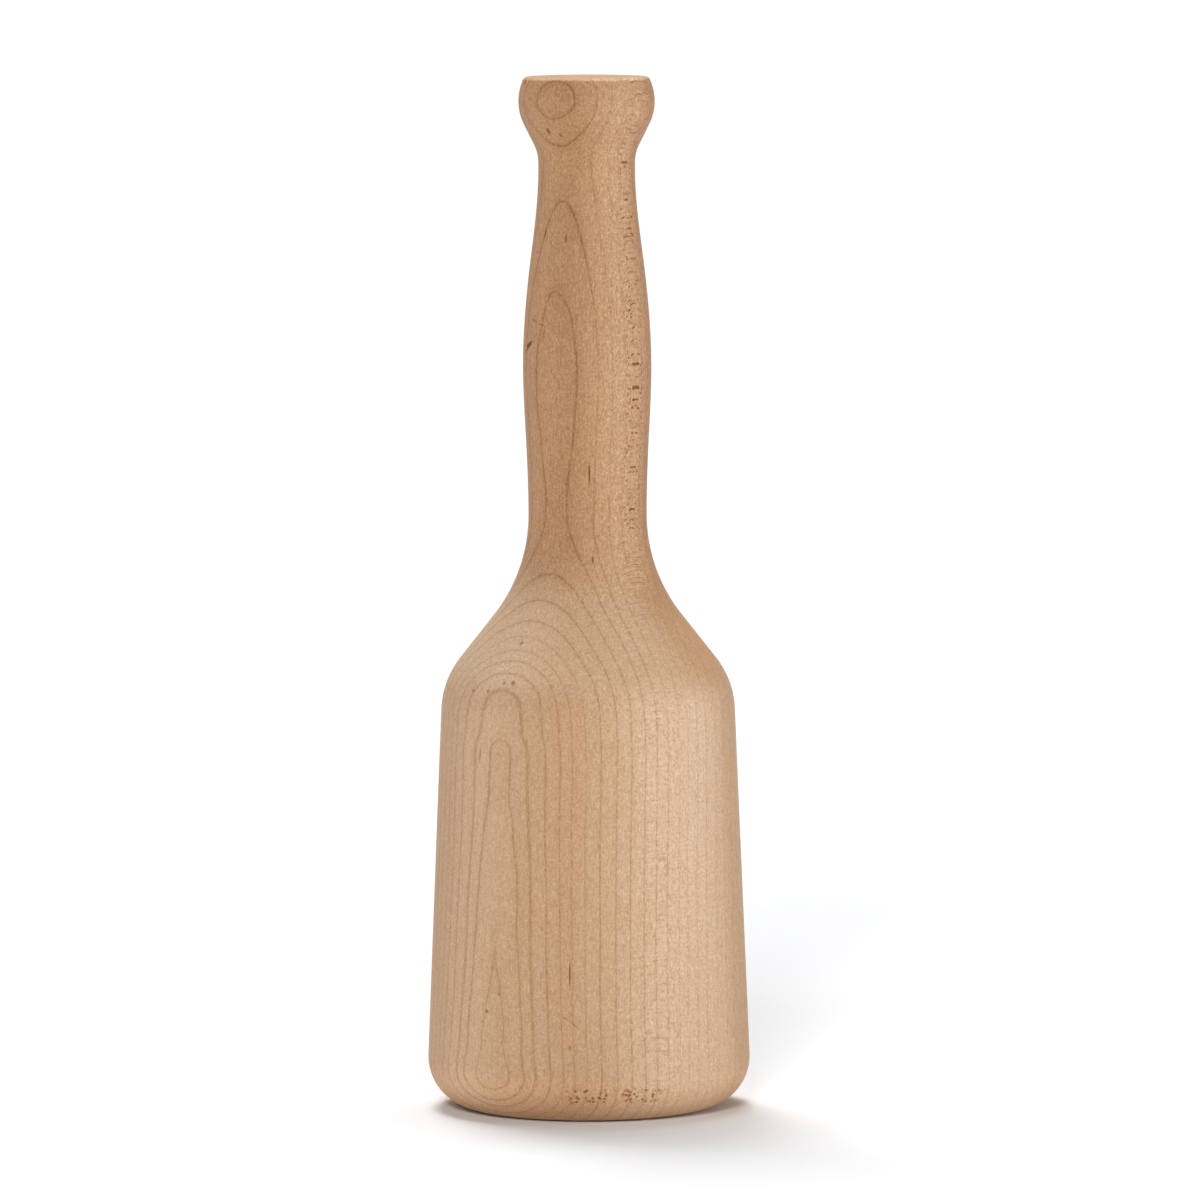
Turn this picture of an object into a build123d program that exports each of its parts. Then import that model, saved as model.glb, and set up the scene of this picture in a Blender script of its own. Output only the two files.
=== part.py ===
"""One-piece butcher's meat mallet, turned between centres from a single billet of hard maple.

Head, shoulder, handle and knob are one unbroken piece of wood, so the whole mallet is one solid.
It stands on its striking face: the origin is the centre of that face and +Z runs up the handle.
The outline is drawn as (radius, height) on the XZ plane and revolved about Z, in millimetres.
"""

from build123d import *

import os
from math import asin, degrees, radians, tan

# Whole mallet
length = 304.8

# Head: a slow taper that is widest just above the rounded edge of the striking face
foot_corner_r = 48.25
foot_round = 14.8
shoulder_r = 43.05
shoulder_z = 126.6
shoulder_round = 26.0

# Neck: the cone of the shoulder runs out into the handle
neck_r = 17.45
neck_corner_z = 159.15
neck_z = 176.5
neck_round = 48.0

# Grip: swells to fill the palm, then thins to the throat below the knob
lower_grip_r = 18.1
lower_grip_z = 198.0
swell_r = 18.92
swell_z = 219.0
upper_grip_r = 16.95
upper_grip_z = 248.5
throat_r = 14.22
throat_z = 278.0

# Knob: flares out of the throat, bulges, and ends in a flat face with a softened edge
throat_round = 12.0
flare_angle = 26.5
knob_r = 20.05
knob_z = 297.6
knob_bulge = 15.2
knob_edge_round = 1.3

# Dimples that the cup centres of the lathe leave in both ends
centre_mark_r = 2.2
centre_mark_half_angle = 30.0

# The knob's arc runs from the tangent flare up to the end face
knob_arc_end = degrees(asin((length - knob_z) / knob_bulge))
centre_mark_depth = centre_mark_r / tan(radians(centre_mark_half_angle))


def flare_corner(knob_start):
    """Where the straight flare that is tangent to the knob meets the throat, as (radius, height)."""
    rise = (knob_start.X - throat_r) / tan(radians(flare_angle))
    return (throat_r, knob_start.Y - rise)


with BuildPart() as mallet:
    with BuildSketch(Plane.XZ):
        with BuildLine():
            head = FilletPolyline(
                (0, 0),
                (foot_corner_r, 0),
                (shoulder_r, shoulder_z),
                (neck_r, neck_corner_z),
                (neck_r, neck_z),
                radius=[foot_round, shoulder_round, neck_round],
            )
            Spline(
                head @ 1,
                (lower_grip_r, lower_grip_z),
                (swell_r, swell_z),
                (upper_grip_r, upper_grip_z),
                (throat_r, throat_z),
                tangents=[(0, 1), (0, 1)],
            )
            knob = CenterArc(
                (knob_r - knob_bulge, knob_z),
                knob_bulge,
                -flare_angle,
                flare_angle + knob_arc_end,
            )
            FilletPolyline(
                (throat_r, throat_z),
                flare_corner(knob @ 0),
                knob @ 0,
                radius=throat_round,
            )
            Polyline(knob @ 1, (0, length), (0, 0))
        make_face()
    revolve(axis=Axis.Z)

    handle_end_edge = mallet.edges().filter_by(GeomType.CIRCLE).group_by(Axis.Z)[-1]
    fillet(handle_end_edge, knob_edge_round)

    # Centre mark in the end of the handle
    with Locations((0, 0, length)):
        Cone(
            bottom_radius=0,
            top_radius=centre_mark_r,
            height=centre_mark_depth,
            align=(Align.CENTER, Align.CENTER, Align.MAX),
            mode=Mode.SUBTRACT,
        )

    # Centre mark in the striking face
    Cone(
        bottom_radius=centre_mark_r,
        top_radius=0,
        height=centre_mark_depth,
        align=(Align.CENTER, Align.CENTER, Align.MIN),
        mode=Mode.SUBTRACT,
    )

mallet.part.label = "mallet"

os.makedirs("parts", exist_ok=True)
export_step(mallet.part, "parts/mallet.step")
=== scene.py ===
"""One-piece maple meat mallet on a pale studio floor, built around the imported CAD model.

The mallet is a fine turned mesh with the small dents and pits of a used piece, in a solid wood
material: growth rings are shells round the tree's pith, so they close into ovals on the front and
run straight on the sides, as they do in a piece turned from one billet.
"""

from math import atan2, cos, exp, hypot, pi, radians, sin, tan

import bpy
import numpy as np
from mathutils import Matrix, Vector, noise


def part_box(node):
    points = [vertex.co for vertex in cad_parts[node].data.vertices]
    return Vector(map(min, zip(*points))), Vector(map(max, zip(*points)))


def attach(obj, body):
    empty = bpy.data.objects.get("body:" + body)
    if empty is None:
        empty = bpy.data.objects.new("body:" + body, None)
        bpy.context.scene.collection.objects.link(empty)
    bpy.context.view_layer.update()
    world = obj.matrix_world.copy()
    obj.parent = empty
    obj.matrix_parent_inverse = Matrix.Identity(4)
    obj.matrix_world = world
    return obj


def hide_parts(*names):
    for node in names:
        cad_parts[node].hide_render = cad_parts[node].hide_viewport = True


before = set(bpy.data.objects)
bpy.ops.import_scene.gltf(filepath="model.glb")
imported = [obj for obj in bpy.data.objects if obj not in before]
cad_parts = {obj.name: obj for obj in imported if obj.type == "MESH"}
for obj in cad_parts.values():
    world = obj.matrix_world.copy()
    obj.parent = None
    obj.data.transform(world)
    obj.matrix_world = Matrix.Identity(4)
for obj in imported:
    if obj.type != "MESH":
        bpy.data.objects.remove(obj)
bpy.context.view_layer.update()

MM = 0.001
low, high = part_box("mallet")
HEIGHT = (high[2] - low[2]) / MM

# ---------------------------------------------------------------- outline, as in the CAD, in mm

FOOT_CORNER = (48.25, 0.0)
SHOULDER = (43.05, 126.6)
NECK_CORNER = (17.45, 159.15)
NECK_TOP = (17.45, 176.5)
FOOT_ROUND = 14.8
SHOULDER_ROUND = 26.0
NECK_ROUND = 48.0
GRIP = ((17.45, 176.5), (18.1, 198.0), (18.92, 219.0), (16.95, 248.5), (14.22, 278.0))
THROAT_ROUND = 12.0
FLARE_ANGLE = radians(26.5)
KNOB_CENTRE = (4.85, 297.6)
KNOB_BULGE = 15.2
KNOB_EDGE_ROUND = 1.3
CENTRE_MARK_R = 2.2
CENTRE_MARK_DEPTH = 3.81
CENTRE_MARK_LIP = 0.25

ROW_STEP = 0.76
SIDES = 192


def run(start, end, step=ROW_STEP):
    """Evenly spaced points from start up to, but not including, end."""
    start, end = np.array(start, float), np.array(end, float)
    count = max(1, round(float(np.linalg.norm(end - start)) / step))
    return [tuple(start + (end - start) * i / count) for i in range(count)]


def arc(centre, radius, start, end, step=ROW_STEP, least=8):
    """Points along an arc from one angle to another, without its last point."""
    count = max(least, round(abs(end - start) * radius / step))
    angles = [start + (end - start) * i / count for i in range(count)]
    return [(centre[0] + radius * cos(a), centre[1] + radius * sin(a)) for a in angles]


def rounded_corner(before, corner, after, radius, step=ROW_STEP):
    """The arc that rounds a corner: its points, its first point and its last one."""
    before, corner, after = (Vector(p) for p in (before, corner, after))
    back = (before - corner).normalized()
    ahead = (after - corner).normalized()
    half = back.angle(ahead) / 2
    first = corner + back * (radius / tan(half))
    last = corner + ahead * (radius / tan(half))
    centre = corner + (back + ahead).normalized() * (radius / sin(half))
    a, b = ((p - centre) for p in (first, last))
    start = atan2(a.y, a.x)
    sweep = (atan2(b.y, b.x) - start + pi) % (2 * pi) - pi
    return arc(centre, radius, start, start + sweep, step), tuple(first), tuple(last)


def grip_curve():
    """A smooth curve through the grip's points that starts and ends upright."""
    r, z = (np.array(v, float) for v in zip(*GRIP))
    gaps = np.diff(z)
    steps = np.diff(r) / gaps
    lines = np.eye(len(z))
    wanted = np.zeros(len(z))
    for i in range(1, len(z) - 1):
        lines[i, i - 1:i + 2] = 1 / gaps[i - 1], 2 / gaps[i - 1] + 2 / gaps[i], 1 / gaps[i]
        wanted[i] = 3 * (steps[i - 1] / gaps[i - 1] + steps[i] / gaps[i])
    slopes = np.linalg.solve(lines, wanted)
    points = []
    for height in np.arange(z[0], z[-1], ROW_STEP):
        i = min(int(np.searchsorted(z, height, "right")) - 1, len(gaps) - 1)
        t = (height - z[i]) / gaps[i]
        value = (1 + 2 * t) * (1 - t) ** 2 * r[i] + t * t * (3 - 2 * t) * r[i + 1]
        value += gaps[i] * (t * (1 - t) ** 2 * slopes[i] - t * t * (1 - t) * slopes[i + 1])
        points.append((float(value), float(height)))
    return points


def centre_mark(face_z, inward):
    """The cone that a lathe centre leaves, from its tip out to its softened lip."""
    tip = (0.0, face_z + inward * CENTRE_MARK_DEPTH)
    lip = (CENTRE_MARK_R, face_z)
    face = (CENTRE_MARK_R * 4, face_z)
    curve, first, last = rounded_corner(tip, lip, face, CENTRE_MARK_LIP, 0.08)
    return run(tip, first, 0.5) + curve, last


def outline():
    """The mallet's half section from the middle of the striking face to the handle's end."""
    mark, lip = centre_mark(0.0, 1)
    foot, foot_in, foot_out = rounded_corner((0, 0), FOOT_CORNER, SHOULDER, FOOT_ROUND)
    shoulder, shoulder_in, shoulder_out = rounded_corner(
        FOOT_CORNER, SHOULDER, NECK_CORNER, SHOULDER_ROUND)
    neck, neck_in, neck_out = rounded_corner(SHOULDER, NECK_CORNER, NECK_TOP, NECK_ROUND)
    points = mark + run(lip, foot_in, 1.6) + foot + run(foot_out, shoulder_in)
    points += shoulder + run(shoulder_out, neck_in) + neck + run(neck_out, NECK_TOP)
    points += grip_curve()

    throat = GRIP[-1]
    knob_low = (KNOB_CENTRE[0] + KNOB_BULGE * cos(FLARE_ANGLE),
                KNOB_CENTRE[1] - KNOB_BULGE * sin(FLARE_ANGLE))
    flare = (throat[0], knob_low[1] - (knob_low[0] - throat[0]) / tan(FLARE_ANGLE))
    throat_arc, throat_in, throat_out = rounded_corner(throat, flare, knob_low, THROAT_ROUND, 0.4)
    points += run(throat, throat_in) + throat_arc + run(throat_out, knob_low)

    knob_end = np.arcsin((HEIGHT - KNOB_CENTRE[1]) / KNOB_BULGE)
    edge = (KNOB_CENTRE[0] + KNOB_BULGE * cos(knob_end), HEIGHT)
    below_edge = (edge[0] + sin(knob_end), edge[1] - cos(knob_end))
    edge_arc, edge_in, edge_out = rounded_corner(
        below_edge, edge, (0, HEIGHT), KNOB_EDGE_ROUND, 0.15)
    short_of_end = knob_end - hypot(edge_in[0] - edge[0], edge_in[1] - edge[1]) / KNOB_BULGE
    points += arc(KNOB_CENTRE, KNOB_BULGE, -FLARE_ANGLE, short_of_end, 0.5) + edge_arc
    mark, lip = centre_mark(HEIGHT, -1)
    points += run(edge_out, lip, 1.4) + [lip] + mark[::-1]
    return points


# ---------------------------------------------------------------- small damage, in mm

# (height, angle from the front towards +X in degrees, half length, half width, depth)
DENTS = (
    (224.8, -74.0, 2.0, 1.8, 0.50),
    (231.5, -50.0, 3.4, 2.6, 0.10),
    (291.0, -62.0, 2.0, 1.6, 0.08),
    (73.0, 142.0, 2.6, 2.2, 0.12),
    (22.0, 204.0, 2.0, 3.0, 0.14),
    (9.0, 96.0, 1.8, 2.4, 0.12),
)
SANDING_WAVE = 0.035


def dent_depth(angle, height, radius):
    """How far the small dents press the surface in at a point, in mm."""
    depth = 0.0
    for z, at, half_length, half_width, most in DENTS:
        across = ((angle - radians(at) + pi) % (2 * pi) - pi) * radius
        reach = hypot((height - z) / half_length, across / half_width)
        if reach < 1:
            depth += most * (1 - reach * reach) ** 2
    return depth


def sanding_wave(angle, height, radius):
    """The slow unevenness that hand sanding leaves, in mm."""
    place = Vector((radius * cos(angle) / 22, radius * sin(angle) / 22, height / 34))
    return SANDING_WAVE * noise.noise(place)


def turned_mesh(name):
    """Revolves the outline into one closed quad mesh, with its small damage."""
    points = outline()
    vertices = [(0.0, 0.0, points[0][1] * MM)]
    for radius, height in points[1:-1]:
        on_side = 0.5 < height < HEIGHT - 0.5 and radius > CENTRE_MARK_R * 2
        for side in range(SIDES):
            angle = 2 * pi * side / SIDES
            r = radius
            if on_side:
                r += sanding_wave(angle, height, radius) - dent_depth(angle, height, radius)
            vertices.append((r * sin(angle) * MM, -r * cos(angle) * MM, height * MM))
    vertices.append((0.0, 0.0, points[-1][1] * MM))

    faces = []
    rows = len(points) - 2
    for side in range(SIDES):
        beside = (side + 1) % SIDES
        faces.append((0, 1 + beside, 1 + side))
        for row in range(rows - 1):
            here = 1 + row * SIDES
            above = here + SIDES
            faces.append((here + side, here + beside, above + beside, above + side))
        top = 1 + (rows - 1) * SIDES
        faces.append((top + side, top + beside, len(vertices) - 1))

    mesh = bpy.data.meshes.new(name)
    mesh.from_pydata(vertices, [], faces)
    mesh.validate()
    mesh.shade_smooth()
    return mesh


# ---------------------------------------------------------------- node helpers

class Pattern:
    """Adds nodes to a tree. Each call returns the socket that holds its result."""

    def __init__(self, tree):
        self.tree = tree

    def node(self, kind, inputs=(), **settings):
        node = self.tree.nodes.new(kind)
        for key, value in settings.items():
            setattr(node, key, value)
        for key, value in dict(inputs).items():
            self.feed(node.inputs[key], value)
        return node

    def feed(self, socket, value):
        if isinstance(value, bpy.types.NodeSocket):
            self.tree.links.new(value, socket)
        else:
            socket.default_value = value

    def math(self, operation, *values):
        return self.node("ShaderNodeMath", enumerate(values), operation=operation).outputs[0]

    def add(self, first, *others):
        for other in others:
            first = self.math("ADD", first, other)
        return first

    def scale(self, value, factor):
        return self.math("MULTIPLY", value, factor)

    def vector(self, operation, *values, factor=None):
        node = self.node("ShaderNodeVectorMath", enumerate(values), operation=operation)
        if factor is not None:
            self.feed(node.inputs["Scale"], factor)
        return node.outputs["Value" if operation in ("LENGTH", "DOT_PRODUCT") else "Vector"]

    def join(self, x=0.0, y=0.0, z=0.0):
        return self.node("ShaderNodeCombineXYZ", {"X": x, "Y": y, "Z": z}).outputs[0]

    def split(self, vector):
        return self.node("ShaderNodeSeparateXYZ", {"Vector": vector}).outputs

    def noise(self, place, stretch=(1, 1, 1), detail=2.0, roughness=0.5, output="Fac"):
        """Soft noise about 0, from -0.5 to 0.5, or a colour from 0 to 1."""
        place = self.vector("MULTIPLY", place, stretch)
        sockets = {"Vector": place, "Scale": 1.0, "Detail": detail, "Roughness": roughness}
        node = self.node("ShaderNodeTexNoise", sockets)
        if output == "Color":
            return node.outputs["Color"]
        return self.math("SUBTRACT", node.outputs["Fac"], 0.5)

    def cells(self, place, stretch):
        """Distance to the nearest of many scattered points."""
        place = self.vector("MULTIPLY", place, stretch)
        node = self.node("ShaderNodeTexVoronoi", {"Vector": place, "Scale": 1.0})
        return node.outputs["Distance"]

    def fade(self, value, start, end, smooth=True):
        """0 at start and 1 at end. Start may be above end."""
        low, high = min(start, end), max(start, end)
        kind = "SMOOTHSTEP" if smooth else "LINEAR"
        to_low, to_high = (0.0, 1.0) if start < end else (1.0, 0.0)
        sockets = {"Value": value, "From Min": low, "From Max": high,
                   "To Min": to_low, "To Max": to_high}
        return self.node("ShaderNodeMapRange", sockets, interpolation_type=kind).outputs["Result"]

    def between(self, value, rise, fall):
        """1 between two fades, and 0 beyond them."""
        return self.math("MULTIPLY", self.fade(value, *rise), self.fade(value, *fall))

    def curve(self, value, points, smooth=False):
        """Reads a curve through (x, y) points with x and y from 0 to 1."""
        node = self.node("ShaderNodeFloatCurve", {"Factor": 1.0, "Value": value})
        line = node.mapping.curves[0]
        while len(line.points) < len(points):
            line.points.new(0.5, 0.5)
        for point, place in zip(line.points, points):
            point.location = place
            point.handle_type = "AUTO_CLAMPED" if smooth else "VECTOR"
        node.mapping.update()
        return node.outputs["Value"]

    def mix(self, first, second, share):
        """One colour blended into another by a share."""
        node = self.node("ShaderNodeMix", data_type="RGBA")
        self.feed(node.inputs["Factor"], share)
        self.feed(node.inputs[6], first)
        self.feed(node.inputs[7], second)
        return node.outputs[2]

    def ramp(self, value, stops):
        """A colour ramp with (position, colour) stops."""
        node = self.node("ShaderNodeValToRGB", {"Fac": value})
        elements = node.color_ramp.elements
        while len(elements) < len(stops):
            elements.new(1.0)
        for element, (position, colour) in zip(elements, stops):
            element.position = position
            element.color = (*colour, 1.0)
        return node.outputs["Color"]


# ---------------------------------------------------------------- the wood: its facts

# Each year of growth from the pith outwards: (ring width in mm, how dark its last line is).
# The first 19 widths are the result of a program that fitted rings to the lines in the photograph,
# with the start of the first ring and one line between the next two placed one by one. The other
# widths, and how dark the lines are, were chosen.
YEARS = (
    (3.8, 0.8), (1.5, 0.9), (1.5, 0.8), (2.6, 0.8), (2.7, 0.7), (2.5, 0.5), (3.2, 0.5),
    (3.8, 0.9), (4.4, 0.9), (4.2, 0.9), (4.2, 1.0), (3.8, 1.0), (3.7, 0.9), (4.1, 0.7),
    (3.1, 0.5), (3.7, 0.8), (3.8, 0.9), (4.5, 0.7), (4.4, 0.6), (4.2, 0.8), (3.7, 0.6),
    (4.3, 0.9), (3.6, 0.7), (4.3, 0.6), (3.5, 0.9), (4.6, 0.7), (3.8, 0.8), (4.2, 0.7),
)
FIRST_RING = 51.6
LAST_RING = FIRST_RING + sum(width for width, _ in YEARS)

# How much deeper the colour is at a distance from the pith: (mm, tone)
BAND_SHADE = ((50, 0.02), (59, 0.00), (63, 0.07), (68, 0.10), (76, 0.09), (84, 0.03),
              (92, 0.00), (104, 0.02), (118, 0.05), (135, 0.04), (155, 0.05))
BAND_SCALE = 5

# Painted light and shade round the piece, as a tone fixed to it: paler where the lights' sheen
# fell, most on the front right, and deeper on the front left and at the edges: (degrees from the
# front towards +X, tone)
ROUND_PAINTED_LIGHT = ((-180, 0.05), (-120, 0.04), (-75, 0.06), (-50, 0.05), (-33, 0.12), (-15, 0.17),
               (0, 0.10), (15, 0.00), (32, -0.07), (48, -0.08), (62, 0.01), (78, 0.13),
               (120, 0.08), (180, 0.05))
ROUND_SPAN = (-0.3, 0.3)

# The course of the tree's pith beside the billet: (height, x, y) in mm.
# x and y are the result of the same fitting program, at the heights listed.
PITH = ((0, -61.2, -80.8), (40, -60.6, -82.0), (80, -59.7, -81.9), (115, -59.1, -80.8),
        (140, -59.5, -81.4), (165, -56.1, -85.9), (200, -53.1, -88.3), (245, -51.7, -90.0),
        (285, -51.5, -91.8), (305, -49.0, -92.6))
PITH_SPAN = (-100.0, 0.0)

# How far the fibres bend aside: (noise, mm)
BENDS = (("wander", 0.5), ("ripple", 0.35))

# How much further out the rings lie along the line nearest the pith: (height, mm)
SWELL = ((0, 0.35), (16, 0.47), (27, 0.14), (36, 0.03), (50, 0.04), (70, -0.20), (88, 0.0),
         (103, 0.25), (109, 0.22), (112, 0.36), (115, 0.60), (124, 0.0), (136, -0.45),
         (152, -0.45), (168, 0.0), (225, 0.0), (252, -0.03), (270, -0.25), (283, -0.10),
         (291, 0.18), (299, -0.29), (305, -0.29))
SWELL_SPAN = (-0.8, 0.8)
SWELL_REACH = (22, 9)
NEAR_SIDE = (0, 12)
CREST_DEPTH = 0.43
CREST_WIDTH = 4.6
CREST_SOFTNESS = 0.6
CREST_RISE = (27, 42)
CREST_FALL = (66, 52)

# Ring lines: half their width in mm on the surface, and the soft edge inside each of them
LINE_REACH = 0.27
LINE_LEAST = 0.32
LINE_MOST = 0.62
LEAST_CROSSING = 0.045
LINE_SHARE = 0.82
EDGE_SHARE = 0.18
EDGE_SPAN = 0.32

# Heights in mm where something fades in
HANDLE_FADE = (140, 172)
# the colour deepens towards the striking face: partly dirt, partly painted warm bounce light
FOOT_FADE = (18, 7)
# painted bounce light from the floor: the foot is brighter towards its bottom edge
FLOOR_BOUNCE_FADE = (17, 9)
KNOB_FADE = (276, 288)
# a painted highlight along the rim of the handle's end: paler and brighter there
RIM_HIGHLIGHT_FADE = (303.7, 304.5)

# The shoulder's painted sheen, and the painted shade that dims its left side: heights where each
# fades in and out
SHOULDER_RISE = (121, 133)
SHOULDER_FALL = (166, 150)
PAINTED_SHADE_RISE = (116, 132)
PAINTED_SHADE_FALL = (172, 158)

# Noise of the figure by name: (waves for each mm in x, y and z; layers; roughness)
NOISES = {
    "wander": ((0.028, 0.028, 0.016), 1.0, 0.5),
    "ripple": ((0.16, 0.16, 0.07), 1.0, 0.5),
    "beads": ((1.1, 1.1, 0.75), 2.0, 0.5),
    "broken": ((0.9, 0.9, 0.10), 2.0, 0.5),
    "fibre": ((2.0, 2.0, 0.30), 2.0, 0.6),
    "mottle": ((1.75, 1.75, 1.5), 1.0, 0.6),
    "cloud": ((0.035, 0.035, 0.014), 3.0, 0.5),
    "clusters": ((0.30, 0.30, 0.30), 1.0, 0.5),
}

# Noise that runs along other directions than x, y and z, which its own function names
STREAKS = ((1.4, 1.4, 1.0), 3.0, 0.5)
RAY_GROUPS = ((0.9, 0.20, 0.03), 1.0, 0.5)
RAY_SPECKLE = ((4.0, 1.1, 0.16), 2.0, 0.5)
SCRATCHES = ((1.0, 0.6, 1.0), 3.0, 0.7)
TURN_SCALE = 100.0

# Scattered cells for each mm in x, y and z, or for the rays in turn, height and depth
PORE_CELLS = (1.5, 1.5, 0.40)
PIT_CELLS = (0.9, 0.9, 0.75)
RAY_CELLS = (7.5, 0.72, 0.06)

# Pale wood, what each step of tone takes from red, green and blue, and the deepest tone
PALE_MAPLE = (0.680, 0.512, 0.363)
ABSORBS = (0.78, 1.28, 1.83)
DEEPEST = 2.6
RAMP_STEPS = 11
MARK_BROWN = (0.060, 0.022, 0.006)

# Where the pits tore out: height in mm and turn from the front in radians, each with its reach
PIT_HEIGHT = 8.8
PIT_HEIGHT_REACH = (2.6, 1.6)
PIT_TURN = 0.16
PIT_TURN_REACH = (0.34, 0.26)
PIT_DARK = 0.62

# How much each part of the figure deepens the tone, brightens the colour and lifts the surface.
# Some parts are painted light: painted shade and sheen round the piece and on the shoulder, a
# painted bounce light at the foot's edge and a painted highlight on the rim of the handle's end.
# The deeper foot is partly dirt and partly painted warm bounce light.
BASE_TONE = 0.23
TONES = {
    "ring": 0.21, "fibre": 0.20, "mottle": 0.31, "streak": 0.10, "cloud": 0.12, "pore": 0.06,
    "rung": 1.0, "speckle": 1.0, "end_grain": 0.04, "handled": 0.31, "band": 0.1, "foot": 0.06,
    "painted_rim_highlight": -0.32, "dark": 0.95, "shade": 1.0,
}
BRIGHTENS = {
    "ring": -0.06, "fibre": -0.16, "mottle": -0.25, "handled": 0.03, "knob": -0.02,
    "painted_rim_highlight": 0.10, "painted_floor_bounce": 0.15, "painted_shoulder_shade": -0.14,
}
LIFTS = {
    "fibre": 0.10, "mottle": 0.06, "scratch": 0.05, "pore": -0.05, "pit": -0.30, "marks": -0.12,
}
ROUGHNESS = 0.60
ROUGHENS = {"fibre": 0.16, "cloud": 0.10, "end_grain": 0.10}
BROWN_IN_MARKS = 0.5
BUMP_STRENGTH = 0.35
BUMP_DISTANCE = 0.0005
WOOD_IOR = 1.45
WOOD_SHINE = 0.25

# (height, angle, half length, half width, tilt in degrees, darkness) of single marks, in mm.
# Most places on the front were read off the photograph and turned into a height and an angle by a
# program. The sizes, the darkness and the marks on the back and sides were chosen.
MARKS = (
    (289.3, -39.1, 0.9, 0.55, 12, 0.62), (288.2, -26.1, 0.6, 0.5, 0, 0.45),
    (257.8, -22.8, 1.3, 0.36, 3, 0.50), (259.3, -51.2, 1.5, 0.25, 0, 0.60),
    (245.7, -56.6, 1.7, 0.22, -4, 0.25), (180.6, -43.0, 1.0, 0.22, 0, 0.30),
    (189.0, 1.8, 3.0, 0.27, 1, 0.85), (163.7, 4.6, 1.2, 0.32, 4, 0.60),
    (107.4, -46.2, 2.2, 0.24, 0, 0.50), (44.5, -6.8, 3.6, 0.27, 0, 0.70),
    (32.7, -39.5, 0.55, 0.55, 0, 0.60), (38.0, -34.2, 0.45, 0.45, 0, 0.35),
    (140.0, -36.5, 0.6, 0.6, 0, 0.42), (129.0, -32.6, 0.6, 0.7, 0, 0.50),
    (128.8, -37.0, 0.5, 0.6, 0, 0.25), (126.2, -44.5, 0.6, 0.5, 0, 0.35),
    (126.0, -53.5, 0.5, 0.7, 0, 0.30), (23.2, -6.7, 0.9, 0.30, 0, 0.45),
    (31.9, -8.4, 1.0, 0.25, 60, 0.35), (30.0, -5.2, 1.6, 0.20, 52, 0.35),
    (225.9, -67.5, 2.9, 0.70, -60, 1.10), (233.6, -57.0, 1.2, 0.28, 80, 0.30),
    (232.6, -47.0, 1.4, 0.28, 82, 0.28), (230.0, -43.0, 2.0, 0.42, -10, 0.24),
    (303.4, -72.0, 0.8, 0.8, 0, 0.50), (118.0, 168.0, 1.6, 0.3, 0, 0.50),
    (61.0, 121.0, 0.6, 0.6, 0, 0.55), (247.0, 196.0, 1.2, 0.3, 0, 0.50),
    (86.0, 236.0, 2.4, 0.3, 0, 0.45), (14.0, -100.0, 0.7, 0.5, 0, 0.40),
)


# ---------------------------------------------------------------- the wood: curves and marks

def by_height(p, share, rows, span, axis=1):
    """A value in mm read from (height, value, ...) rows at a share of the mallet's height."""
    least, most = span
    points = [(row[0] / HEIGHT, (row[axis] - least) / (most - least)) for row in rows]
    return p.math("MULTIPLY_ADD", p.curve(share, points, smooth=True), most - least, least)


def year_curve(values):
    """The curve's points, from ring distances to values, both brought to 0 to 1."""
    place = FIRST_RING
    points = [(0.0, values[0])]
    for (width, _), value in zip(YEARS, values[1:]):
        place += width
        points.append(((place - FIRST_RING) / (LAST_RING - FIRST_RING), value))
    return points


def painted_light_curve():
    """The painted light and shade round the piece as curve points, with both values brought to 0 to
    1.
    """
    least, most = ROUND_SPAN
    return [((turn + 180) / 360, (tone - least) / (most - least)) for turn, tone in ROUND_PAINTED_LIGHT]


def band_curve():
    """The shade by distance from the pith as curve points, with both values brought to 0 to 1."""
    first, last = BAND_SHADE[0][0], BAND_SHADE[-1][0]
    return [((place - first) / (last - first), tone * BAND_SCALE) for place, tone in BAND_SHADE]


def mark_group():
    """A node group that draws one soft oval mark on the turned surface."""
    group = bpy.data.node_groups.new("wood_mark", "ShaderNodeTree")
    for name in ("Angle", "Radius", "Height", "At Angle", "At Height", "Length", "Width", "Tilt"):
        group.interface.new_socket(name, in_out="INPUT", socket_type="NodeSocketFloat")
    group.interface.new_socket("Mark", in_out="OUTPUT", socket_type="NodeSocketFloat")
    p = Pattern(group)
    given = p.node("NodeGroupInput").outputs
    turn = p.math("SUBTRACT", given["Angle"], given["At Angle"])
    turn = p.math("WRAP", turn, pi, -pi)
    across = p.math("MULTIPLY", turn, given["Radius"])
    along = p.math("SUBTRACT", given["Height"], given["At Height"])
    cosine = p.math("COSINE", given["Tilt"])
    sine = p.math("SINE", given["Tilt"])
    u = p.add(p.scale(across, cosine), p.scale(along, sine))
    v = p.math("SUBTRACT", p.scale(along, cosine), p.scale(across, sine))
    u = p.math("DIVIDE", u, given["Width"])
    v = p.math("DIVIDE", v, given["Length"])
    reach = p.vector("LENGTH", p.join(u, v))
    result = p.fade(reach, 1.35, 0.45)
    p.node("NodeGroupOutput", {"Mark": result})
    return group


def all_marks(p, at):
    """The single marks together, as one darkness."""
    group = mark_group()
    total = None
    for height, turn, length, width, tilt, dark in MARKS:
        sockets = {"Angle": at.angle, "Radius": at.radius, "Height": at.z,
                   "At Angle": radians(turn), "At Height": height, "Length": length,
                   "Width": width, "Tilt": radians(tilt)}
        mark = p.node("ShaderNodeGroup", sockets, node_tree=group).outputs["Mark"]
        mark = p.scale(mark, dark)
        total = mark if total is None else p.math("MAXIMUM", total, mark)
    return total


def maple_colours():
    """Ramp stops from pale wood to the deepest, which loses blue faster than red."""
    stops = []
    for i in range(RAMP_STEPS + 1):
        share = i / RAMP_STEPS
        colour = tuple(c * exp(-share * DEEPEST * k) for c, k in zip(PALE_MAPLE, ABSORBS))
        stops.append((share, colour))
    return stops


# ---------------------------------------------------------------- the wood: its figure

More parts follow.
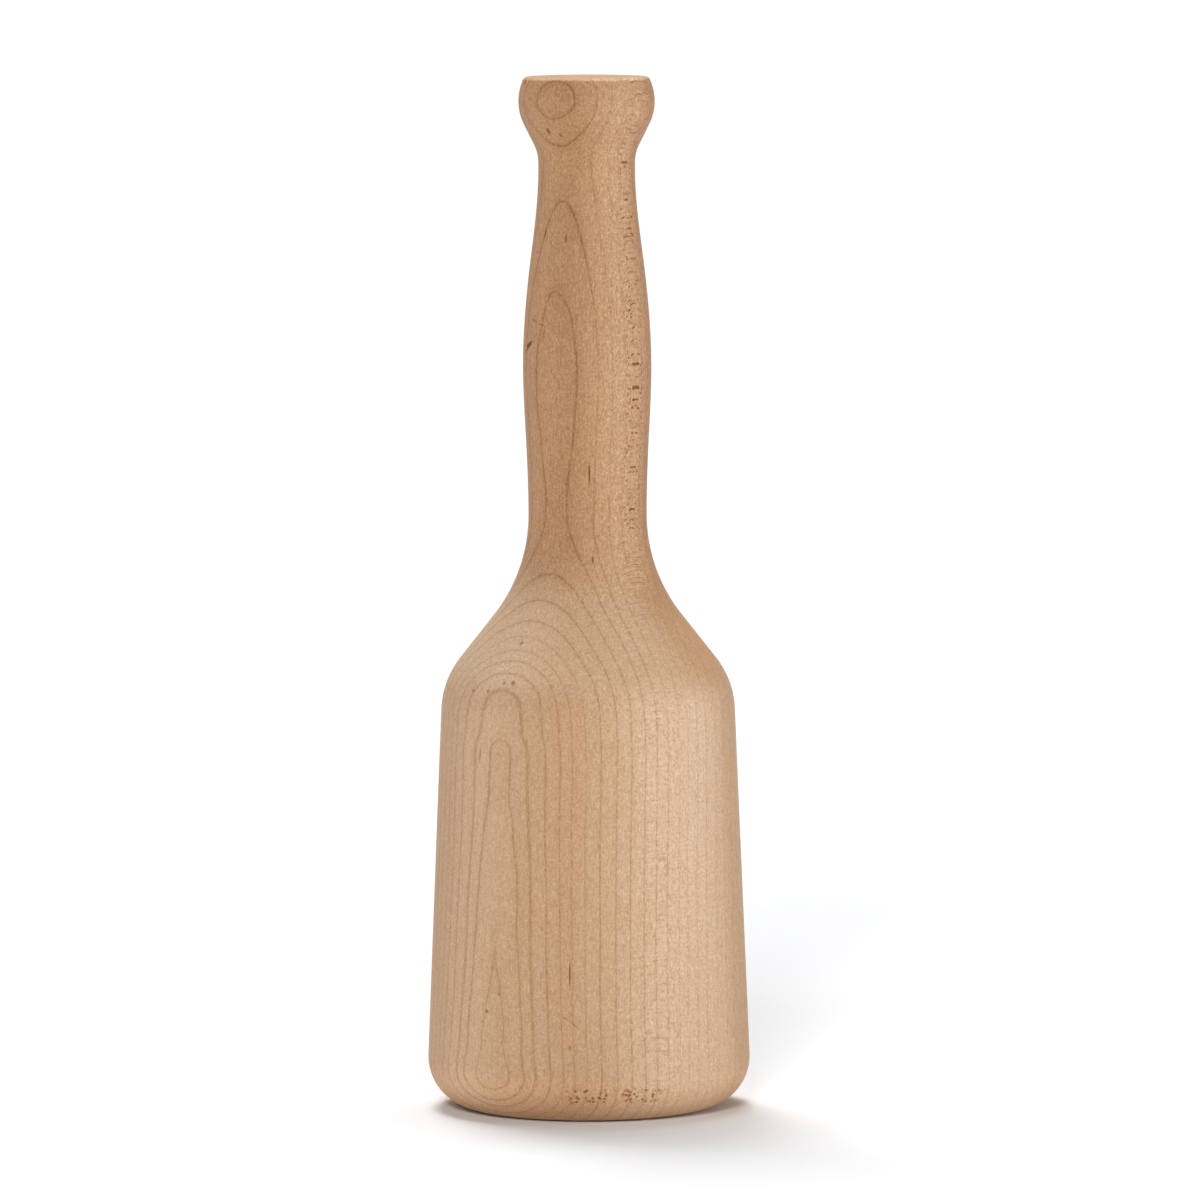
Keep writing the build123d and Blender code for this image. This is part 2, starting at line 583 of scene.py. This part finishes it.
class SurfacePlace:
    """Where a point is on the turned piece, in mm and radians."""

    def __init__(self, p):
        coordinates = p.node("ShaderNodeTexCoord").outputs
        self.normal = coordinates["Normal"]
        self.place = p.vector("SCALE", coordinates["Object"], factor=1 / MM)
        self.x, self.y, self.z = p.split(self.place)
        self.angle = p.math("ARCTAN2", self.x, p.scale(self.y, -1.0))
        self.radius = p.vector("LENGTH", p.join(self.x, self.y))
        self.side = p.math("DIVIDE", self.x, p.math("MAXIMUM", self.radius, 1.0))
        self.share_up = p.scale(self.z, 1 / HEIGHT)
        self.upright = p.math("ABSOLUTE", p.split(self.normal)[2])
        self.handled = p.fade(self.z, *HANDLE_FADE)


class TreePlace:
    """Where a point is in the tree: its distance from the pith, and its turn about it."""

    def __init__(self, p, at):
        bent_x, bent_y, _ = p.split(bent_place(p, at))
        self.pith_x = by_height(p, at.share_up, PITH, PITH_SPAN, 1)
        self.pith_y = by_height(p, at.share_up, PITH, PITH_SPAN, 2)
        from_pith_x = p.math("SUBTRACT", bent_x, self.pith_x)
        from_pith_y = p.math("SUBTRACT", bent_y, self.pith_y)
        from_pith = p.join(from_pith_x, from_pith_y)
        self.depth = p.vector("LENGTH", from_pith)
        self.outward = p.vector("NORMALIZE", from_pith)
        self.turn = p.scale(p.math("ARCTAN2", from_pith_y, from_pith_x), TURN_SCALE)


def bent_place(p, at):
    """The place with the slow wander and finer ripple of the fibres along the billet."""
    middle = (0.5, 0.5, 0.5)
    bent = at.place
    for name, most in BENDS:
        colour = p.noise(at.place, *NOISES[name], output="Color")
        shift = p.vector("SUBTRACT", colour, middle)
        bent = p.vector("ADD", bent, p.vector("MULTIPLY", shift, (most, most, 0)))
    return bent


def ring_places(p, at, tree):
    """The depth that the rings are drawn at, and how squarely they cross the surface.

    They swell or shrink a little on the side nearest the pith, with a sharp crest low down.
    """
    across = p.join(at.x, at.y)
    to_pith = p.vector("NORMALIZE", p.join(tree.pith_x, tree.pith_y))
    aside = p.vector("LENGTH", p.vector("CROSS_PRODUCT", across, to_pith))
    near_side = p.fade(p.vector("DOT_PRODUCT", across, to_pith), *NEAR_SIDE)
    swell = by_height(p, at.share_up, SWELL, SWELL_SPAN)
    swell = p.math("MULTIPLY", swell, p.fade(aside, *SWELL_REACH))
    crest_height = p.between(at.z, CREST_RISE, CREST_FALL)
    crest = p.math("MULTIPLY", p.fade(aside, CREST_WIDTH, 0.0, smooth=False), crest_height)
    swell = p.math("SUBTRACT", swell, p.scale(crest, CREST_DEPTH))
    depth = p.add(tree.depth, p.math("MULTIPLY", swell, near_side))

    crossing = p.vector("LENGTH", p.vector("CROSS_PRODUCT", tree.outward, at.normal))
    on_crest = p.fade(aside, CREST_WIDTH + CREST_SOFTNESS, CREST_WIDTH)
    steeper = p.math("MULTIPLY", on_crest, crest_height)
    return depth, p.add(crossing, p.scale(steeper, CREST_DEPTH / CREST_WIDTH))


def dashes(p, at):
    """How much stronger or weaker a ring line is, in fine dashes that show more on one side."""
    beads = p.noise(at.place, *NOISES["beads"])
    dashed = p.math("MULTIPLY_ADD", p.fade(beads, -0.10, 0.10), 1.3, -0.5)
    beaded = p.math("MULTIPLY_ADD", p.fade(at.side, -0.30, 0.39), 0.4, 0.4)
    dashed = p.math("MULTIPLY", dashed, beaded)
    return p.math("MAXIMUM", p.add(1.0, dashed), 0.0)


def growth_rings(p, at, tree):
    """The dark line that ends each year, of an even width on the surface, and its soft edge."""
    depth, crossing = ring_places(p, at, tree)
    count = len(YEARS)
    share = p.fade(depth, FIRST_RING, LAST_RING, smooth=False)
    years = p.scale(p.curve(share, year_curve([i / count for i in range(count + 1)])), count)
    strength = p.curve(share, year_curve([0.8] + [dark for _, dark in YEARS]))
    phase = p.math("FRACT", years)
    to_line = p.math("SUBTRACT", 0.5, p.math("ABSOLUTE", p.math("SUBTRACT", phase, 0.5)))
    ring_width = p.scale(p.curve(share, year_curve([0.7] + [width / 5 for width, _ in YEARS])), 5.0)
    on_surface = p.math("DIVIDE", p.math("MULTIPLY", to_line, ring_width),
                        p.math("MAXIMUM", crossing, LEAST_CROSSING))
    reach = p.math("MAXIMUM", p.math("DIVIDE", LINE_REACH, crossing), LINE_LEAST)
    reach = p.math("MINIMUM", reach, LINE_MOST)
    line = p.fade(p.math("DIVIDE", on_surface, reach), 1.0, 0.16)
    line = p.math("MULTIPLY", line, dashes(p, at))
    soft_edge = p.fade(to_line, EDGE_SPAN, 0.0)
    broken = p.noise(at.place, *NOISES["broken"])
    ring = p.add(p.scale(line, LINE_SHARE), p.scale(soft_edge, EDGE_SHARE))
    ring = p.math("MULTIPLY", ring, p.math("MULTIPLY_ADD", broken, 1.1, 1.0))
    return p.math("MULTIPLY", ring, strength)


def ring_strength(p, at):
    """The rings are faint on the right of the head, and strong on the front of the handle."""
    on_head = p.math("SUBTRACT", 1.0, at.handled)
    faint = p.math("MULTIPLY", p.fade(at.side, 0.10, 0.78), on_head)
    head = p.math("MULTIPLY_ADD", faint, -0.5, 1.0)
    strong = p.math("MULTIPLY_ADD", p.fade(at.side, 0.22, -0.05), 0.65, -0.45)
    handle = p.math("MULTIPLY_ADD", at.handled, strong, 1.0)
    return p.math("MULTIPLY", head, handle)


def rays(p, at, tree):
    """Rungs and speckle of the rays, which are thin ribbons that point at the pith.

    They show only where the cut follows them.
    """
    place = p.join(tree.turn, at.z, tree.depth)
    squareness = p.math("ABSOLUTE", p.vector("DOT_PRODUCT", tree.outward, at.normal))
    rung = p.fade(p.cells(place, RAY_CELLS), 0.36, 0.20)
    rung = p.math("MULTIPLY", rung, p.fade(squareness, 0.30, 0.10))
    grouped = p.fade(p.noise(place, *RAY_GROUPS), -0.20, 0.06)
    rung = p.math("MULTIPLY", rung, p.math("MULTIPLY_ADD", grouped, 0.85, 0.15))
    rung = p.math("MULTIPLY", rung, p.math("MULTIPLY_ADD", at.handled, 0.90, 0.18))

    near = p.math("MULTIPLY", at.handled, p.fade(squareness, 0.85, 0.4))
    speckle = p.noise(place, *RAY_SPECKLE)
    speckle = p.math("MULTIPLY", speckle, p.math("MULTIPLY_ADD", near, 0.35, 0.25))
    return rung, speckle


def painted_light_round(p, at):
    """Painted light and shade round the piece. On the shoulder it is a painted sheen instead: paler
    on the left, where an overhead light's sheen falls, and deeper on the right.
    """
    share_round = p.fade(at.angle, -pi, pi, smooth=False)
    least, most = ROUND_SPAN
    around = p.curve(share_round, painted_light_curve(), smooth=True)
    around = p.math("MULTIPLY_ADD", around, most - least, least)
    on_shoulder = p.between(at.z, SHOULDER_RISE, SHOULDER_FALL)
    # a painted sheen on the shoulder: paler on its left, deeper on its right
    painted_shoulder_sheen = p.add(p.scale(p.fade(at.side, -0.20, -0.68), -0.13),
                           p.scale(p.fade(at.side, 0.52, 0.91), 0.20))
    sockets = {"Factor": on_shoulder, "A": around, "B": painted_shoulder_sheen}
    shade = p.node("ShaderNodeMix", sockets).outputs[0]
    return p.math("MULTIPLY", shade, p.fade(at.upright, 0.97, 0.80))


def torn_pits(p, at):
    """Pits that tore out just above the striking face, in clusters."""
    from_height = p.math("ABSOLUTE", p.math("SUBTRACT", at.z, PIT_HEIGHT))
    from_turn = p.math("ABSOLUTE", p.math("SUBTRACT", at.angle, PIT_TURN))
    zone = p.math("MULTIPLY", p.fade(from_height, *PIT_HEIGHT_REACH),
                  p.fade(from_turn, *PIT_TURN_REACH))
    clusters = p.fade(p.noise(at.place, *NOISES["clusters"]), -0.10, 0.06)
    pit = p.math("MULTIPLY", p.fade(p.cells(at.place, PIT_CELLS), 0.50, 0.30), zone)
    return p.math("MULTIPLY", pit, clusters)


def figure_parts(p):
    """Every part of the wood's figure by name, with the painted light and shade that its colour
    holds.
    """
    at = SurfacePlace(p)
    tree = TreePlace(p, at)
    grain = p.math("MULTIPLY_ADD", at.handled, 0.40, 1.12)
    streak_place = p.join(tree.depth, p.scale(tree.turn, 0.25), p.scale(at.z, 0.012))
    scratch_place = p.join(p.scale(at.angle, 0.6), at.radius, p.scale(at.z, 3.2))
    painted_shoulder_shade = p.between(at.z, PAINTED_SHADE_RISE, PAINTED_SHADE_FALL)
    from_pith = p.fade(tree.depth, BAND_SHADE[0][0], BAND_SHADE[-1][0], smooth=False)
    rung, speckle = rays(p, at, tree)
    pit = torn_pits(p, at)
    marks = all_marks(p, at)
    return {
        "ring": p.math("MULTIPLY", growth_rings(p, at, tree), ring_strength(p, at)),
        "fibre": p.math("MULTIPLY", p.noise(at.place, *NOISES["fibre"]), grain),
        "mottle": p.math("MULTIPLY", p.noise(at.place, *NOISES["mottle"]), grain),
        "streak": p.noise(streak_place, *STREAKS),
        "cloud": p.noise(at.place, *NOISES["cloud"]),
        "pore": p.fade(p.cells(at.place, PORE_CELLS), 0.28, 0.10),
        "rung": rung,
        "speckle": speckle,
        "end_grain": p.fade(at.upright, 0.12, 1.0, smooth=False),
        "handled": at.handled,
        "band": p.curve(from_pith, band_curve(), smooth=True),
        # deeper towards the striking face: partly dirt, partly painted warm bounce light
        "foot": p.fade(at.z, *FOOT_FADE),
        # painted bounce light from the floor, brighter towards the foot's bottom edge
        "painted_floor_bounce": p.fade(at.z, *FLOOR_BOUNCE_FADE),
        "knob": p.fade(at.z, *KNOB_FADE),
        # a painted highlight on the rim of the handle's end
        "painted_rim_highlight": p.fade(at.z, *RIM_HIGHLIGHT_FADE),
        # painted shade that dims the left of the shoulder
        "painted_shoulder_shade": p.math("MULTIPLY", painted_shoulder_shade, p.fade(at.side, -0.25, -0.81)),
        # painted light and shade round the piece, and the painted sheen on the shoulder
        "shade": painted_light_round(p, at),
        "scratch": p.noise(scratch_place, *SCRATCHES),
        "pit": pit,
        "marks": marks,
        "dark": p.math("MAXIMUM", marks, p.scale(pit, PIT_DARK)),
    }


def blended(p, start, weights, parts):
    """The start value with every named part added by its weight."""
    scaled = [p.scale(parts[name], weight) for name, weight in weights.items()]
    return p.add(start, *scaled)


def maple_material():
    """Solid maple: the figure sets its colour, roughness and relief, and painted light and shade
    are mixed into its colour.
    """
    material = bpy.data.materials.new("turned_maple")
    material.use_nodes = True
    tree = material.node_tree
    tree.nodes.clear()
    p = Pattern(tree)
    parts = figure_parts(p)

    tone = blended(p, BASE_TONE, TONES, parts)
    wood = p.ramp(p.scale(tone, 1 / DEEPEST), maple_colours())
    wood = p.vector("SCALE", wood, factor=blended(p, 1.0, BRIGHTENS, parts))
    brown = p.scale(parts["dark"], BROWN_IN_MARKS)
    relief = blended(p, 0.0, LIFTS, parts)
    bump = p.node("ShaderNodeBump", {
        "Height": relief, "Strength": BUMP_STRENGTH, "Distance": BUMP_DISTANCE})

    shader = p.node("ShaderNodeBsdfPrincipled", {
        "Base Color": p.mix(wood, (*MARK_BROWN, 1.0), brown),
        "Roughness": blended(p, ROUGHNESS, ROUGHENS, parts),
        "Normal": bump.outputs[0],
        "IOR": WOOD_IOR,
        "Specular IOR Level": WOOD_SHINE,
    })
    p.node("ShaderNodeOutputMaterial", {"Surface": shader.outputs[0]})
    return material


# ---------------------------------------------------------------- the piece

def build_mallet():
    """The whole mallet, in place of the CAD node."""
    mallet = bpy.data.objects.new("mallet_turned", turned_mesh("mallet_turned"))
    bpy.context.collection.objects.link(mallet)
    mallet.data.materials.append(maple_material())
    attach(mallet, "root")
    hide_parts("mallet")


# ---------------------------------------------------------------- studio

FLOOR_RADIUS = 20.0
FLOOR_SIDES = 64
FLOOR_GAP = 0.00005      # the floor lies just under the mallet, so that their faces don't coincide
PAPER_WHITE = (0.895, 0.90, 0.912, 1.0)

# Very distant soft lights, so that the floor is evenly bright all round:
# (name, degrees round from the front towards +X, degrees up, degrees across, strength).
# They were picked from trial lights by a fit to the photograph, and then adjusted.
LIGHTS = (
    ("front", -8, 27, 12, 1.58),
    ("right", 80, 12, 30, 0.88),
    ("top", 180, 75, 30, 1.25),
    ("back", 200, 62, 20, 1.35),
)
ROOM_LIGHT = 0.1
ROOM_WHITE = 1.05
WALL_TOP = 0.24

# The camera, in metres and mm of lens
CAMERA_DISTANCE = 3.0
CAMERA_HEIGHT = 0.41095
CAMERA_SIDE = 0.0036
CAMERA_PITCH = radians(4.965)
CAMERA_ROLL = radians(-0.14)
CAMERA_LENS = 305.94


def floor_mesh():
    """A wide round floor."""
    turns = [2 * pi * i / FLOOR_SIDES for i in range(FLOOR_SIDES)]
    corners = [(FLOOR_RADIUS * cos(a), FLOOR_RADIUS * sin(a), -FLOOR_GAP) for a in turns]
    mesh = bpy.data.meshes.new("studio_floor")
    mesh.from_pydata(corners, [], [tuple(range(FLOOR_SIDES))])
    return mesh


def paper_material():
    """Matt white paper with a fine grain."""
    material = bpy.data.materials.new("white_paper")
    material.use_nodes = True
    p = Pattern(material.node_tree)
    shader = material.node_tree.nodes["Principled BSDF"]
    place = p.node("ShaderNodeTexCoord").outputs["Object"]
    grain = p.noise(place, (60, 60, 60), 3.0)
    bump = p.node("ShaderNodeBump", {"Height": grain, "Strength": 0.1, "Distance": 0.0002})
    p.feed(shader.inputs["Normal"], bump.outputs[0])
    shader.inputs["Base Color"].default_value = PAPER_WHITE
    shader.inputs["Roughness"].default_value = 0.9
    shader.inputs["Specular IOR Level"].default_value = 0.1
    return material


def build_stage():
    """The floor that the mallet stands on."""
    floor = bpy.data.objects.new("studio_floor", floor_mesh())
    bpy.context.collection.objects.link(floor)
    floor.data.materials.append(paper_material())


def soft_light(name, turn, rise, spread, strength):
    """A distant soft light that shines from one direction, given in degrees."""
    data = bpy.data.lights.new(name, "SUN")
    data.energy = strength
    data.angle = radians(spread)
    light = bpy.data.objects.new(name, data)
    turn, rise = radians(turn), radians(rise)
    shines = Vector((-sin(turn) * cos(rise), cos(turn) * cos(rise), -sin(rise)))
    light.rotation_euler = shines.to_track_quat("-Z", "Y").to_euler()
    bpy.context.collection.objects.link(light)


def build_lights():
    """The lights, in a room with low white walls and dim air above, all white to the camera."""
    world = bpy.data.worlds.new("white_room")
    world.use_nodes = True
    p = Pattern(world.node_tree)
    upward = p.split(p.node("ShaderNodeTexCoord").outputs["Generated"])[2]
    white_wall = p.fade(upward, WALL_TOP, WALL_TOP / 2)
    seen = p.node("ShaderNodeLightPath").outputs["Is Camera Ray"]
    white = p.math("MAXIMUM", white_wall, seen)
    strength = p.math("MULTIPLY_ADD", white, ROOM_WHITE - ROOM_LIGHT, ROOM_LIGHT)
    background = world.node_tree.nodes["Background"]
    background.inputs["Color"].default_value = (1.0, 1.0, 1.0, 1.0)
    p.feed(background.inputs["Strength"], strength)
    bpy.context.scene.world = world
    for name, turn, rise, spread, power in LIGHTS:
        soft_light(name, turn, rise, spread, power)


def build_camera():
    """A distant camera with a long lens, looking slightly down."""
    data = bpy.data.cameras.new("camera")
    data.lens = CAMERA_LENS
    data.sensor_width = 36.0
    data.clip_end = 50.0
    camera = bpy.data.objects.new("camera", data)
    turn = Matrix.Rotation(pi / 2 - CAMERA_PITCH, 4, "X") @ Matrix.Rotation(CAMERA_ROLL, 4, "Z")
    place = Matrix.Translation((CAMERA_SIDE, -CAMERA_DISTANCE, CAMERA_HEIGHT))
    camera.matrix_world = place @ turn
    bpy.context.collection.objects.link(camera)
    bpy.context.scene.camera = camera


build_camera()
build_mallet()
build_stage()
build_lights()
bpy.context.scene.view_settings.view_transform = "Standard"
